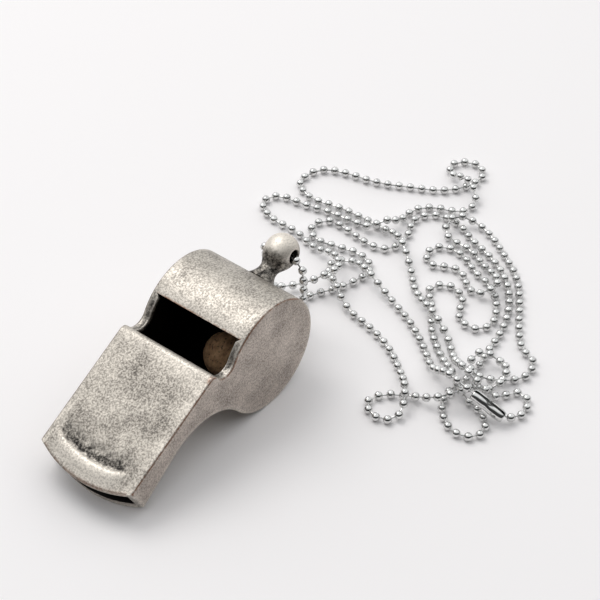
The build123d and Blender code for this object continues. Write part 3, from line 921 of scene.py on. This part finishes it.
def chain_piece(name, path, joins_from, nodes, material):
    """Ball chain: balls with a flat at each mouth, turned about the path, and slim pins between neighbours.
    The first pin comes from the points that the chain joins from, which may be none."""
    centres, ways = bead_centres(path)
    count = len(centres)
    mouth = math.asin(bead_mouth / bead_radius)
    polar = np.linspace(mouth, math.pi - mouth, bead_rows)
    radii = np.repeat(bead_radius * np.sin(polar)[None, :], count, axis=0) * MM
    heights = np.repeat(bead_radius * np.cos(polar)[None, :], count, axis=0) * MM
    beads = turned_rows(centres, ways, radii, heights, bead_sides)
    starts = np.concatenate((joins_from, centres))
    runs = np.diff(starts, axis=0)
    lengths = np.linalg.norm(runs, axis=1)
    pin_heights = np.stack((np.full(len(runs), pin_start * MM), lengths - pin_start * MM), axis=1)
    pin_radii = np.full(pin_heights.shape, pin_radius * MM)
    pins = turned_rows(starts[:-1], runs / lengths[:, None], pin_radii, pin_heights, pin_sides)
    faces = turned_faces(count, bead_rows, bead_sides, 0)
    faces += turned_faces(len(runs), pin_heights.shape[1], pin_sides, count * bead_rows * bead_sides)
    points = np.concatenate((beads.reshape(-1, 3), pins.reshape(-1, 3)))
    return make_piece(name, points, faces, "whistle", material, nodes, bead_sharp)


def clasp_piece(material):
    """Clasp: a bent sleeve, swollen round each end bead, with a narrow slot that widens to an eye.

    Its radius is the end radius plus a swell that falls off as the square root of one minus the fifth
    power of the way to each end, less a waist in the middle.  The wall turns from one side of the slot
    round to the other and back inside.
    """
    start = np.array(clasp_top) + (barrel_x, 0, 0)
    run = np.array(clasp_bottom) + (barrel_x, 0, 0) - start
    half = np.linalg.norm(run) / 2 - clasp_end_trim
    axis = run / np.linalg.norm(run)
    across = np.cross(axis, (0, 0, 1))
    across /= np.linalg.norm(across)
    upward = np.cross(across, axis)
    along = np.linspace(-half, half, clasp_columns)
    middle = np.exp(-along**2 / clasp_waist_spread)
    swell = clasp_swell * np.sqrt(1 - np.abs(along / half) ** clasp_end_power)
    radius = clasp_end_radius + swell - clasp_waist * middle
    opening = np.arcsin((clasp_slot + clasp_eye * middle) / radius)
    share = np.linspace(0, 1, clasp_rows)[:, None]
    turn = opening + share * (2 * math.pi - 2 * opening)
    turn = np.concatenate((turn, turn[::-1]))
    reach = np.concatenate((radius + 0 * share, radius - clasp_wall + 0 * share))
    spine = start + run / 2 + along[:, None] * axis
    points = spine + (reach * np.cos(turn))[..., None] * upward + (reach * np.sin(turn))[..., None] * across
    rows, columns = turn.shape
    faces = grid_quads(rows, columns) + side_quads(rows, columns)
    return make_piece("clasp", points * MM, faces, "connector", material, ("chain_connector",),
                      sheet_sharp)


def camera_view():
    """Camera at the photograph's angle: back from the aim point along its azimuth and elevation."""
    azimuth = math.radians(camera_azimuth)
    elevation = math.radians(camera_elevation)
    back = Vector((math.sin(azimuth) * math.cos(elevation), -math.cos(azimuth) * math.cos(elevation),
                   math.sin(elevation)))
    data = bpy.data.cameras.new("camera")
    data.lens = camera_lens
    data.sensor_width = sensor_width
    data.clip_start = near_clip
    data.clip_end = far_clip
    camera = bpy.data.objects.new("camera", data)
    aim = Vector(camera_aim) + Vector((barrel_x, 0, 0))
    camera.location = (aim + back * camera_distance) * MM
    camera.rotation_mode = "QUATERNION"
    camera.rotation_quaternion = (-back).to_track_quat("-Z", "Y")
    bpy.context.scene.collection.objects.link(camera)
    bpy.context.scene.camera = camera
    return aim * MM


def pale_floor():
    """Wide pale floor just under the part: one square face."""
    mesh = bpy.data.meshes.new("floor")
    signs = ((-1, -1), (1, -1), (1, 1), (-1, 1))
    corners = [(x * floor_reach, y * floor_reach, floor_level) for x, y in signs]
    mesh.from_pydata(corners, [], [(0, 1, 2, 3)])
    material, _, shader = new_material("pale_floor")
    shader.inputs["Base Color"].default_value = floor_tone
    shader.inputs["Roughness"].default_value = floor_roughness
    shader.inputs["Specular IOR Level"].default_value = floor_specular
    mesh.materials.append(material)
    floor = bpy.data.objects.new("floor", mesh)
    bpy.context.scene.collection.objects.link(floor)


def studio_light(aim):
    """Soft studio: a sky that brightens to the top and the back, dim low in front, and one broad lamp."""
    world = bpy.data.worlds.new("studio")
    bpy.context.scene.world = world
    world.use_nodes = True
    tree = world.node_tree
    way = add_node(tree, "ShaderNodeTexCoord").outputs["Generated"]
    height = add_node(tree, "ShaderNodeVectorMath", {0: way, 1: sky_way}, operation="DOT_PRODUCT")
    levels = {"Value": height.outputs["Value"], "From Min": horizon_top, "From Max": sky_top,
              "To Min": horizon_level, "To Max": sky_level}
    level = add_node(tree, "ShaderNodeMapRange", levels, interpolation_type="SMOOTHSTEP")
    background = tree.nodes["Background"]
    background.inputs["Color"].default_value = sky_tone
    tree.links.new(level.outputs["Result"], background.inputs["Strength"])
    data = bpy.data.lights.new("key", "AREA")
    data.shape = "DISK"
    data.size = lamp_size
    data.energy = lamp_power
    data.color = lamp_tone
    lamp = bpy.data.objects.new("key", data)
    towards = Vector(lamp_way).normalized()
    lamp.location = aim + towards * lamp_distance
    lamp.rotation_mode = "QUATERNION"
    lamp.rotation_quaternion = (-towards).to_track_quat("-Z", "Y")
    bpy.context.scene.collection.objects.link(lamp)


# Finishes
aged_plate = aged_plate_group()
plated = plate_material("rubbed_plate", aged_plate, plate_relief)
# The windway floor: painted shade inside the mouth, behind the nose
inner_metal = plate_material("dark_inside", aged_plate, inside_relief, behind_nose)
cork_grain = cork_material()
bead_metal = steel_material()

# Stage
aim_point = camera_view()
pale_floor()
studio_light(aim_point)
bpy.context.scene.view_settings.view_transform = "Standard"

# Chain; the long side joins the first bead of the short side inside the knob
long_path = route_points("long_route", long_route)
short_path = route_points("short_route", short_route)
short_chain = chain_piece("chain_short", short_path, short_path[:0],
                          ("chain_short_beads", "chain_short_pins"), bead_metal)
long_chain = chain_piece("chain_long", long_path, short_path[:1],
                         ("chain_long_beads", "chain_long_pins"), bead_metal)
clasp = clasp_piece(bead_metal)

# Whistle
band_piece(plated)
cheek_piece("cheek_left", 1, "left_cheek", plated)
cheek_piece("cheek_right", -1, "right_cheek", plated)
plate_piece(plated)
knob_piece(plated)
pea_piece(cork_grain)
floor_node = frame["nodes"]["windway_floor"]
floor_node.data.materials.clear()
floor_node.data.materials.append(inner_metal)
